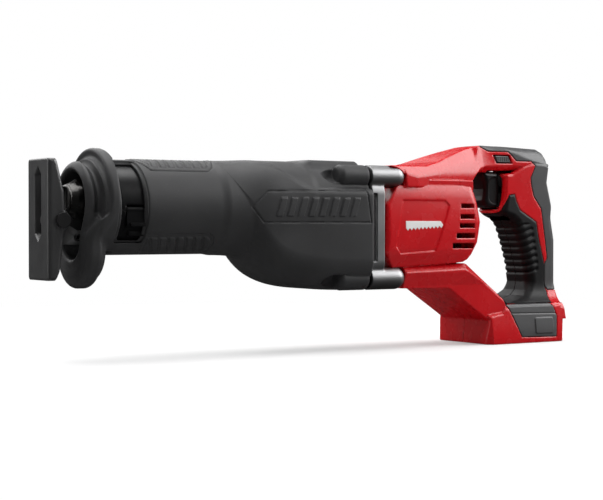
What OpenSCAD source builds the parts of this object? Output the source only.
// Reciprocating saw, bare tool: front is -X, up is +Z, the shell's parting plane is Y = 0.
// Lengths along the tool are counted from the face of the shoe, then placed about the middle.

/* [Overall] */
// Length from the face of the shoe to the back of the handle
overall_l = 480; // [478:1:500]
// Height of the axis of the blade spindle above the foot
spindle_z = 119; // [118:0.5:120]
// Height of the axis of the motor and of the crank gear
motor_z = 99; // [98.5:0.5:99.5]
// Gap left between parts that only touch
gap = 0.15; // [0.1:0.05:0.2]
// Radial clearance of running fits
fit = 0.05; // [0.02:0.01:0.1]

/* [Shoe] */
// Width of the shoe
shoe_w = 38; // [36:0.5:39]
// Thickness of the shoe's plate
shoe_t = 3; // [2:0.25:3.5]
// Lowest point of the shoe
shoe_z0 = 60; // [58:1:64]
// Highest point of the shoe
shoe_z1 = 146; // [144:1:150]
// Height of the shoe's pivot
pivot_z = 103.5; // [103:0.25:104]
// Distance of the shoe's pivot behind the shoe's face
pivot_x = 11; // [10.5:0.25:11.5]
// Radius of the shoe's pivot pin
pivot_r = 3; // [2.5:0.25:3.25]

/* [Blade drive] */
// Stroke of the blade
stroke = 28.6; // [26:0.2:28.6]
// Radius of the blade spindle
spindle_r = 8; // [7:0.5:8.5]
// Outer radius of the blade clamp
clamp_r = 15; // [14:0.5:16]
// Number of teeth on the crank gear
gear_teeth = 40; // [40:4:40]
// Number of teeth on the motor pinion
pinion_teeth = 10; // [10:1:10]

/* [Nose and gear case] */
// Outer radius of the nose of the gear case
nose_r = 31; // [30:0.5:31]
// Height of the axis of the nose
nose_z = 113; // [112.5:0.5:113.5]
// Thickness of the insulating boot
boot_t = 4; // [3.5:0.25:4]
// Half width of the gear case
case_hw = 37; // [36.5:0.5:37.5]

/* [Motor housing and handle] */
// Half width of the motor housing
motor_hw = 38.5; // [38:0.5:40]
// Radius of the room for the motor
motor_room_r = 32; // [32:0.25:32.5]
// Half width of the handle
handle_hw = 17; // [16.5:0.5:18]
// Half width of the foot
foot_hw = 36; // [35:0.5:37]
// Thickness of the rubber over the handle
rubber_t = 2; // [1.5:0.25:2.5]

/* [Hidden] */
$fn = 64;
nudge = 0.5;
crank_r = stroke / 2;
gear_x = 228;
boss_y = 29;
boss_z = [57.5, 138.5];
boss_r = 7.5;
case_back = 266;
cover_back = 275;
nose_front = 50;
window_back = 71;
lever_y = -29;
lever_z = 111;
wall = 5;
barrel_back = 175;
mouth_r = 23;
mouth_z = 116;
vent_z = [82.5, 90.7, 98.9, 107.1, 115.3];
// Screws that close the housing: distance from the shoe's face, height and depth of the head's seat
screws = [[312, 140.5, 30], [330, 57, 33], [384, 150, 17], [396, 34, 33],
          [460, 158, 15], [446, 100, 15], [452, 44, 15], [462, 30, 28]];

// Placing and drawing helpers

module placed() translate([-overall_l / 2, 0, 0]) children();
module slab(points, y0, y1) translate([0, y1, 0]) rotate([90, 0, 0]) linear_extrude(y1 - y0) polygon(points);
module section(x0, x1) translate([x0, 0, 0]) rotate([90, 0, 90]) linear_extrude(x1 - x0) children();
module rod_x(x0, x1, r, y = 0, z = 0) translate([x0, y, z]) rotate([0, 90, 0]) cylinder(h = x1 - x0, r = r);
module rod_y(y0, y1, r, x = 0, z = 0) translate([x, y1, z]) rotate([90, 0, 0]) cylinder(h = y1 - y0, r = r);
module block(low, high) translate(low) cube(high - low);
module half(side) intersection() {
    children();
    block([0, side < 0 ? -60 : 0, -10], [overall_l + 20, side < 0 ? 0 : 60, 200]);
}
module at_bosses() for (side = [-1, 1], z = boss_z) translate([0, side * boss_y, z]) children();
function mirrored(points) = concat(points, [for (i = [len(points) - 1 : -1 : 0]) [points[i].x, -points[i].y]]);

module rounded(hw, z0, z1, r) {
    translate([-hw, z0 + r]) square([2 * hw, z1 - z0 - 2 * r]);
    translate([r - hw, z0]) square([2 * (hw - r), z1 - z0]);
    for (y = [r - hw, hw - r], z = [z0 + r, z1 - r]) translate([y, z]) circle(r);
}

// Shell of the housing

motor_side = [[275.6, 78], [285, 66], [364, 66], [376, 85], [379.5, 102.5], [375, 125], [370, 136],
              [288, 136], [278, 120]];
motor_end = [[-motor_hw, 80], [-motor_hw, 120], [-31, 136], [31, 136], [motor_hw, 120], [motor_hw, 80],
             [33, 66], [-33, 66]];
bar_side = [[296, 130], [296, 147.7], [328, 149.5], [374, 157.6], [404, 167], [467, 166.5],
            [471.5, 163], [472, 155], [471, 150], [469, 137], [440, 137], [417, 147.5], [394, 147.5],
            [372, 134]];
bar_plan = mirrored([[296, 37], [300, 37], [400, handle_hw], [overall_l, handle_hw]]);
arm_side = [[299, 49], [299, 66.5], [364, 68.5], [367, 67.7], [415, 31.5], [415, 20], [390, 20.8],
            [347.5, 48.3]];
foot_side = [[390.2, 21.4], [387.7, 0], [472, 0], [472, 21], [469, 30], [384, 30]];
foot_plan = mirrored([[387.5, 30.5], [391.5, foot_hw], [462, foot_hw], [472, 30]]);
collar_side = [[404, 29], [411, 39], [470, 39], [471, 29]];
grip_side = [[417, 148], [417, 114], [427, 109], [432.5, 87], [439.5, 48], [421, 37], [472, 37],
             [480, 45], [480, 87], [474, 118], [469, 137], [471, 150], [469, 152]];

grip_patch = [[423, 111], [427, 109], [432.5, 87], [439.5, 48], [421, 38], [470, 38], [470, 50],
              [464, 66], [459.5, 87], [453, 104], [438, 112.5], [432.5, 125], [424, 117]];
grip_front = [[423, 111], [427, 109], [432.5, 87], [439.5, 48], [421, 38], [428, 38], [443, 48],
              [436, 87.5], [430, 110.5], [425, 114.5]];
spine_patch = [[398, 164.9], [404, 167], [467, 166.5], [471.5, 163], [472, 155], [471, 150], [469, 137],
               [474, 118], [480, 87], [480, 45], [472, 45], [468.5, 71], [466, 87], [461, 114],
               [452.5, 125], [449.5, 138], [454.6, 151.2], [451.9, 155], [433, 155], [424.3, 162.5],
               [401, 162.5]];
spine_back = [[398, 164.9], [404, 167], [467, 166.5], [471.5, 163], [472, 155], [471, 150], [469, 137],
              [474, 118], [480, 87], [480, 45], [477, 45], [477, 87], [471, 117], [466, 137],
              [468, 151], [468, 160], [465, 163.5], [401, 163.5]];
foot_panel_patch = [[411, 26], [423, 5], [465, 4.5], [466, 26]];

module grip(side) {
    slab(grip_patch, side < 0 ? -handle_hw : handle_hw - rubber_t, side < 0 ? rubber_t - handle_hw : handle_hw);
    slab(grip_front, side < 0 ? -handle_hw : 0, side < 0 ? 0 : handle_hw);
}
module spine(side) {
    slab(spine_patch, side < 0 ? -handle_hw : handle_hw - rubber_t, side < 0 ? rubber_t - handle_hw : handle_hw);
    slab(spine_back, side < 0 ? -handle_hw : 0, side < 0 ? 0 : handle_hw);
}
module foot_panel(side)
    slab(foot_panel_patch, side < 0 ? -foot_hw : foot_hw - rubber_t, side < 0 ? rubber_t - foot_hw : foot_hw);

module housing_outside() {
    intersection() {
        slab(motor_side, -motor_hw, motor_hw);
        section(270, 385) polygon(motor_end);
    }
    rod_x(275.6, 300, motor_room_r + 2.5, z = motor_z);
    intersection() {
        slab(bar_side, -motor_hw, motor_hw);
        translate([0, 0, 120]) linear_extrude(60) polygon(bar_plan);
    }
    slab(arm_side, -foot_hw + 1, foot_hw - 1);
    intersection() {
        slab(foot_side, -foot_hw, foot_hw);
        translate([0, 0, -1]) linear_extrude(40) polygon(foot_plan);
    }
    slab(collar_side, 3 - foot_hw, foot_hw - 3);
    slab(grip_side, -handle_hw, handle_hw);
}

module housing_inside() {
    rod_x(270, 367, motor_room_r, z = motor_z);
    rod_x(366, 374.5, 11 + gap, z = motor_z);
    slab([[303, 140], [303, 145], [328, 146.5], [374, 154.5], [405, 163], [420, 161.5], [420, 152],
          [392, 152], [374, 141]], -13, 13);
    slab([[303, 53], [303, 62.5], [363, 64.5], [403, 34], [403, 31.5], [381, 31.5], [349, 52]], -29, 29);
    block([422, -13, 104], [458, 13, 147]);
    slab([[444, 40], [440, 86], [432, 106], [452, 106], [458, 86], [464, 50], [464, 40]], -11, 11);
    // Battery bay: a mouth below, a wider rail channel above it, and room for the terminals
    block([391, -24, -1], [480, 24, 16]);
    block([391, -30, 4], [480, 30, 10]);
    // Room for the trigger
    block([410, -12, 112], [424, 12, 146]);
    // Passage of the lock button
    block([409, -20, 153], [427.4, 20, 159.2]);
}

module vents() for (z = vent_z, side = [-1, 1])
    translate([351 + (z < 90 ? -4 : 0), side < 0 ? -50 : 31, z - 2.2]) cube([40, 19, 4.4]);

module screw_holes(clearance) for (s = screws) {
    rod_y(-12, s[2], 1.6 + clearance, s.x, s.y);
    rod_y(s[2] - 3, s[2], 3.6 + clearance, s.x, s.y);
    rod_y(s[2], 45, 3.9, s.x, s.y);
}

module housing(side) difference() {
    half(side) housing_outside();
    housing_inside();
    vents();
    for (z = boss_z, y = [-boss_y, boss_y]) rod_x(270, 300 + gap, boss_r + gap, y, z);
    grip(side);
    spine(side);
    foot_panel(side);
    screw_holes(fit);
}
module housing_left() color("firebrick") placed() housing(-1);
module housing_right() color("firebrick") placed() housing(1);
module grip_left() color("#181819") placed() grip(-1);
module grip_right() color("#181819") placed() grip(1);
module spine_left() color("#4a4a4c") placed() spine(-1);
module spine_right() color("#4a4a4c") placed() spine(1);
module foot_panel_left() color("#2c2c2e") placed() foot_panel(-1);
module foot_panel_right() color("#2c2c2e") placed() foot_panel(1);
module housing_screws() color("#3a3a3c") placed() for (s = screws) {
    rod_y(-11, s[2] - 3, 1.6, s.x, s.y);
    difference() {
        rod_y(s[2] - 3, s[2], 3.6, s.x, s.y);
        rod_y(s[2] - 1.5, s[2] + 1, 1.6, s.x, s.y);
    }
}

// Gear case, its cover and the insulating boot over it

// Lower curve of the gear case in side view, a quarter ellipse from the nose to the belly
function belly(inset) = [for (a = [0 : 10 : 90]) [232 - (75 - inset) * cos(a), 80 - (32 - inset) * sin(a)]];

module case_body(inset, back) intersection() {
    slab(concat(belly(inset), [[back, 48 + inset], [back, 147 - inset], [157 + inset, 147 - inset]]), -50, 50);
    section(150, back + 1) rounded(case_hw + boot_t - inset, 48 + inset, 147 - inset, 26 - inset);
}
module case_outside(inset, back) {
    rod_x(nose_front, barrel_back, nose_r + boot_t - inset, z = nose_z);
    case_body(inset, back);
    at_bosses() rod_x(237 + inset / 2, back, boss_r + 1.5 - inset / 3);
}

module insulating_boot() color("#303033") placed() difference() {
    union() {
        case_outside(0, 265.5);
        // Hand stop: a round flange, with an egg-shaped collar in front of it that reaches lower
        section(36, nose_front) translate([0, 118]) circle(38);
        section(25, 40) {
            translate([0, mouth_z]) circle(30);
            translate([0, 82]) circle(27.5);
            polygon([[-29.8, 112], [29.8, 112], [27.4, 80], [-27.4, 80]]);
        }
    }
    case_outside(boot_t - gap, 270);
    rod_x(20, nose_front + nudge, mouth_r, z = mouth_z);
    block([20, -14, 72], [nose_front + nudge, 14, 110]);
    for (side = [-1, 1]) block([nose_front, side < 0 ? -45 : 8, 89], [window_back, side < 0 ? -8 : 45, 147]);
    at_bosses() rod_x(230, 240, 5.5);
}

module gear_case() color("#1b1b1d") placed() difference() {
    case_outside(boot_t, case_back);
    difference() {
        case_body(boot_t + wall, case_back + 1);
        rod_y(19, 40, 18, gear_x, motor_z);
    }
    rod_y(18, 29, 13 + fit, gear_x, motor_z);
    rod_x(40, 85, 20, z = spindle_z);
    rod_x(80, 170, 12 + gap / 2, z = spindle_z);
    // Hollow of the nose, round the front bush's boss and the post's channel
    difference() {
        rod_x(90, 142, nose_r - wall, z = nose_z);
        rod_x(80, 113, 16, z = spindle_z);
        block([80, -13, 80], [150, 13, 99]);
    }
    block([40, -10.3, 85.7], [150, 10.3, 96.3]);
    // Pocket of the shoe lever and the hole for its pin
    block([54.5, -40, 96.5], [70, -26, 114]);
    rod_x(51, 73.5, 1.5, lever_y, lever_z);
    at_bosses() rod_x(230, case_back + 1, 2.5 + gap);
    at_bosses() rod_x(230, 244, 4.3 + gap);
}

module gear_case_cover() color("silver") placed() difference() {
    union() {
        section(case_back, cover_back) rounded(case_hw, 52.5, 143.5, 20);
        at_bosses() rod_x(case_back, 296, boss_r);
        at_bosses() translate([296, 0, 0]) rotate([0, 90, 0]) cylinder(h = 4, r1 = boss_r, r2 = boss_r - 3);
    }
    rod_x(case_back - 1, cover_back + 1, 11 + fit, z = motor_z);
    for (side = [-1, 1]) block([267.5, side < 0 ? -45 : 33, 71], [270.5, side < 0 ? -33 : 45, 125]);
    at_bosses() rod_x(case_back - 1, 293, 2.5 + gap);
}
module gear_case_screws() color("#5a5a5c") placed() at_bosses() {
    rod_x(244, 292, 2.5);
    difference() {
        rod_x(240, 244, 4.3);
        rod_x(239, 242, 2.4);
    }
}
module ring_x(x0, x1, r_out, r_in, z) difference() {
    rod_x(x0, x1, r_out, z = z);
    rod_x(x0 - 1, x1 + 1, r_in, z = z);
}
module front_bush() color("#a67c45") placed() ring_x(86, 106, 12, spindle_r + fit, spindle_z);
module rear_bush() color("#a67c45") placed() ring_x(146, 166, 12, spindle_r + fit, spindle_z);
module spindle_seal() color("#222224") placed() ring_x(107, 112, 12, spindle_r + fit, spindle_z);

// Shoe, its post and the lever that frees the post

shoe_flange = [[0, shoe_z0 + 3], [2, shoe_z0], [6, shoe_z0 + 1], [9, 68], [12, 92], [13, 97],
               [13, 110], [12, 115], [12, 125], [7, 143], [5, shoe_z1], [2, shoe_z1], [0, shoe_z1 - 3]];
module shoe() color("#242426") placed() difference() {
    union() {
        section(0, shoe_t) rounded(shoe_w / 2, shoe_z0, shoe_z1, 6);
        for (y = [-shoe_w / 2, shoe_w / 2 - shoe_t]) {
            slab(shoe_flange, y, y + shoe_t);
            rod_y(y, y + shoe_t, 6.5, pivot_x, pivot_z);
        }
    }
    // Slot for the blade, with pointed ends
    section(-1, shoe_t + 1) polygon([[-5.5, 94], [0, 89], [5.5, 94], [5.5, 136], [0, 141], [-5.5, 136]]);
    rod_y(-30, 30, pivot_r, pivot_x, pivot_z);
}
module shoe_pivot_pin() color("#6a6a6c") placed() {
    rod_y(-shoe_w / 2, shoe_w / 2, pivot_r, pivot_x, pivot_z);
    for (y = [-shoe_w / 2 - 1.5, shoe_w / 2]) rod_y(y, y + 1.5, 5.5, pivot_x, pivot_z);
}
module shoe_post() color("#3a3a3c") placed() difference() {
    union() {
        rod_y(-12, 12, 7, pivot_x, pivot_z);
        slab([[11, 97], [15, 86], [140, 86], [140, 96], [26, 96], [17.5, 101]], -10, 10);
    }
    rod_y(-20, 20, pivot_r + fit, pivot_x, pivot_z);
    block([0, -4, 97.5], [30, 4, 115]);
    rod_y(-20, 20, 2.5, 25.5, 91);
    // Notches where the lever's latch holds the post
    for (x = [62, 72, 82, 92]) block([x, -11, 90], [x + 4, -7, 97]);
}
module post_roll_pin() color("#8a8a8c") placed() difference() {
    rod_y(-13, 13, 2.5, 25.5, 91);
    rod_y(-14, 14, 1.3, 25.5, 91);
}
module shoe_lever() color("#202022") placed() difference() {
    union() {
        rod_x(55, 69.5, 2.5, lever_y, lever_z);
        block([55, -31.2, 99], [69.5, -28.4, lever_z]);
        block([57, -33.5, 99], [67.5, -31.2, 101.5]);
    }
    rod_x(50, 75, 1.5 + fit, lever_y, lever_z);
}
module lever_pin() color("silver") placed() rod_x(51, 73.5, 1.5, lever_y, lever_z);

// Spindle, yoke and blade clamp, drawn with the blade fully out

yoke_x = gear_x - crank_r;
// Face teeth of the crank gear: reach from the gear's axis, and from the middle plane
tooth_r = [26.2, 33.8];
tooth_y = [6.2, 9.4];
module spindle() color("#b8b8ba") placed() difference() {
    rod_x(36, 178, spindle_r, z = spindle_z);
    block([35, -0.8, spindle_z - 7], [46, 0.8, spindle_z + 7]);
    for (z = [-4, 4]) rod_x(170, 179, 1.5, -5, spindle_z + z);
    rod_y(-10, 10, 2, 41, spindle_z);
    // Flat that passes the face teeth of the crank gear
    block([165.4, tooth_y[0] - 0.7, spindle_z - 10], [180, 10, spindle_z + 10]);
}
module yoke() color("#9a9a9c") placed() difference() {
    union() {
        block([178, -10, 112], [206, -2, 126]);
        block([yoke_x - 9, -10, motor_z - crank_r - 9], [yoke_x + 9, -2, 122]);
    }
    rod_y(-20, 0, 5 + fit, yoke_x, motor_z - crank_r);
    rod_y(-20, 0, 5 + fit, yoke_x, motor_z + crank_r);
    block([yoke_x - 5 - fit, -20, motor_z - crank_r], [yoke_x + 5 + fit, 0, motor_z + crank_r]);
    for (z = [-4, 4]) rod_x(170, 186, 1.5, -5, spindle_z + z);
}
module yoke_screws() color("#3c3c3e") placed() for (z = [-4, 4]) rod_x(170, 185, 1.5, -5, spindle_z + z);
module clamp_body() color("#707072") placed() difference() {
    rod_x(22, 46, 10, z = spindle_z);
    rod_x(36, 47, spindle_r, z = spindle_z);
    block([21, -0.8, spindle_z - 7], [37, 0.8, spindle_z + 7]);
    rod_y(-12, 12, 2, 41, spindle_z);
}
module clamp_pin() color("#c8c8ca") placed() rod_y(-9.7, 9.7, 2, 41, spindle_z);
module clamp_ring() color("#c8c8ca") placed() ring_x(46.3, 48, 11.5, spindle_r, spindle_z);
module clamp_collar() color("#6e665e") placed() difference() {
    union() {
        rod_x(24, 46, clamp_r - 2.5, z = spindle_z);
        rod_x(40, 46, clamp_r - 0.5, z = spindle_z);
        rod_x(20, 24, 11.5, z = spindle_z);
        // Finger lobes round the collar
        for (a = [0 : 60 : 300]) translate([0, 0, spindle_z]) rotate([a, 0, 0]) rod_x(26, 40, 2.5, 0, clamp_r - 2.5);
    }
    rod_x(21.5, 47, 10 + fit, z = spindle_z);
    rod_x(19, 30, 8, z = spindle_z);
}

// Crank gear and what turns with it

module crank_gear() color("#8c8c90") placed() difference() {
    union() {
        rod_y(9.3, 16.5, 34, gear_x, motor_z);
        rod_y(9.3, 18.5, 11, gear_x, motor_z);
        // Face teeth, seen by the pinion from the side of the crank pin
        for (i = [0 : gear_teeth - 1]) translate([gear_x, 0, motor_z]) rotate([0, i * 360 / gear_teeth, 0])
            block([tooth_r[0], tooth_y[0], -0.7], [tooth_r[1], tooth_y[1], 0.7]);
    }
    rod_y(0, 20, 5, gear_x, motor_z);
    rod_y(0, 20, 3.5, yoke_x, motor_z);
    for (a = [60, 120, 240, 300]) translate([gear_x, 0, motor_z]) rotate([0, a + 180, 0]) rod_y(0, 20, 5, 19, 0);
}
module gear_axle() color("#b0b0b2") placed() rod_y(4, 28, 5, gear_x, motor_z);
module crank_pin() color("#b0b0b2") placed() rod_y(-1.5, 16.4, 3.5, yoke_x, motor_z);
module crank_roller() color("#9c9ca0") placed() difference() {
    rod_y(-1.5, 6, 5, yoke_x, motor_z);
    rod_y(-3, 8, 3.5 + fit, yoke_x, motor_z);
}
module gear_bearing() color("silver") placed() difference() {
    rod_y(19, 28.5, 13, gear_x, motor_z);
    rod_y(18, 30, 5 + fit, gear_x, motor_z);
}

// Motor

module motor_shaft() color("#b4b4b6") placed() rod_x(254, 373, 4, z = motor_z);
module pinion() color("#9a9a9e") placed() translate([0, 0, motor_z]) difference() {
    union() {
        rod_x(253, 263, 5.2);
        for (i = [0 : pinion_teeth - 1]) rotate([(i + 0.5) * 360 / pinion_teeth, 0, 0])
            section(254, 262) polygon([[4.5, -1.1], [7.4, -0.85], [9, -0.35], [9, 0.35], [7.4, 0.85], [4.5, 1.1]]);
    }
    rod_x(250, 265, 4);
}
module armature_core() color("#5c5c5e") placed() translate([0, 0, motor_z]) difference() {
    rod_x(303, 343, 23.5);
    rod_x(300, 345, 4);
    for (a = [0 : 30 : 330]) rotate([a, 0, 0]) block([302, -1, 19], [344, 1, 25]);
}
module armature_coils() color("#b87333") placed() for (x = [[296, 302.8], [343.2, 350]])
    ring_x(x[0], x[1], 19.5, 4, motor_z);
module commutator() color("#c08040") placed() translate([0, 0, motor_z]) difference() {
    rod_x(352, 364, 11);
    rod_x(350, 366, 4);
    for (a = [0 : 30 : 330]) rotate([a, 0, 0]) block([351, -0.3, 10], [365, 0.3, 12]);
}
module fan() color("#2b2b2d") placed() translate([0, 0, motor_z]) difference() {
    union() {
        rod_x(280, 282, 27);
        rod_x(280, 289, 8);
        for (a = [0 : 30 : 330]) rotate([a, 0, 0]) block([281.9, -0.8, 10], [289, 0.8, 27]);
    }
    rod_x(279, 290, 4);
}
module motor_can() color("#7c7c80") placed() ring_x(296, 348, 31.5, 28.5, motor_z);
module magnets() color("#2a2a2c") placed() difference() {
    ring_x(299, 346, 28.4, 24.3, motor_z);
    for (y = [[-30, -14], [14, 30]], z = [-3, 24]) block([290, -30, motor_z - 3], [350, 30, motor_z + 3]);
    block([290, -3, motor_z - 30], [350, 3, motor_z + 30]);
}
module brush_holder() color("#3c3428") placed() difference() {
    ring_x(354, 357, 31.5, 12, motor_z);
    for (side = [-1, 1]) block([350, side < 0 ? -24 : 11, motor_z - 3.6], [360, side < 0 ? -11 : 24, motor_z + 3.6]);
}
module brushes() color("#1a1a1a") placed() for (side = [-1, 1])
    block([354, side < 0 ? -23.5 : 11.3, motor_z - 3.5], [362, side < 0 ? -11.3 : 23.5, motor_z + 3.5]);
module front_bearing() color("silver") placed() ring_x(case_back + 0.5, cover_back, 11, 4 + fit, motor_z);
module rear_bearing() color("silver") placed() ring_x(367.3, 374.3, 11, 4 + fit, motor_z);

// Switch, trigger, lock button and battery terminals

module switch_body() color("#1e1e20") placed() difference() {
    block([428, -11, 116], [456, 11, 144]);
    rod_x(427, 442, 3 + fit, z = 131);
}
trigger_side = concat([[400, 116], [402.5, 120]], [for (a = [-30 : 15 : 30]) [416 - 11.5 * cos(a), 129.5 - 14 * sin(-a)]],
                      [[402.5, 139], [404, 143], [406, 143.5], [417.5, 143.5], [417.5, 115], [401, 115]]);
module trigger() color("#151516") placed() {
    slab(trigger_side, -11, 11);
    rod_x(417.4, 430, 3, z = 131);
}
module lock_button() color("#3a3a3c") placed()
    slab([[409.5, 159], [412, 153.3], [427, 153.3], [424.5, 159]], -16.2, 20.2);
module terminal_block() color("#202022") placed() difference() {
    union() {
        block([393.5, -21, 5], [403, 21, 15.8]);
        block([393.5, -28, 4.5], [397, 28, 9.8]);
    }
    for (y = [-15, -5, 5, 15]) block([398, y - 0.4, 6.5], [404, y + 0.4, 14.5]);
}
module terminal_blades() color("#c9a227") placed() for (y = [-15, -5, 5, 15])
    block([398.2, y - 0.4, 7], [413, y + 0.4, 14]);

housing_left();
housing_right();
grip_left();
grip_right();
spine_left();
spine_right();
foot_panel_left();
foot_panel_right();
housing_screws();
insulating_boot();
gear_case();
gear_case_cover();
gear_case_screws();
front_bush();
rear_bush();
spindle_seal();
shoe();
shoe_pivot_pin();
shoe_post();
post_roll_pin();
shoe_lever();
lever_pin();
spindle();
yoke();
yoke_screws();
clamp_body();
clamp_pin();
clamp_ring();
clamp_collar();
crank_gear();
gear_axle();
crank_pin();
crank_roller();
gear_bearing();
motor_shaft();
armature_core();
armature_coils();
commutator();
fan();
pinion();
motor_can();
magnets();
brush_holder();
brushes();
front_bearing();
rear_bearing();
switch_body();
trigger();
lock_button();
terminal_block();
terminal_blades();
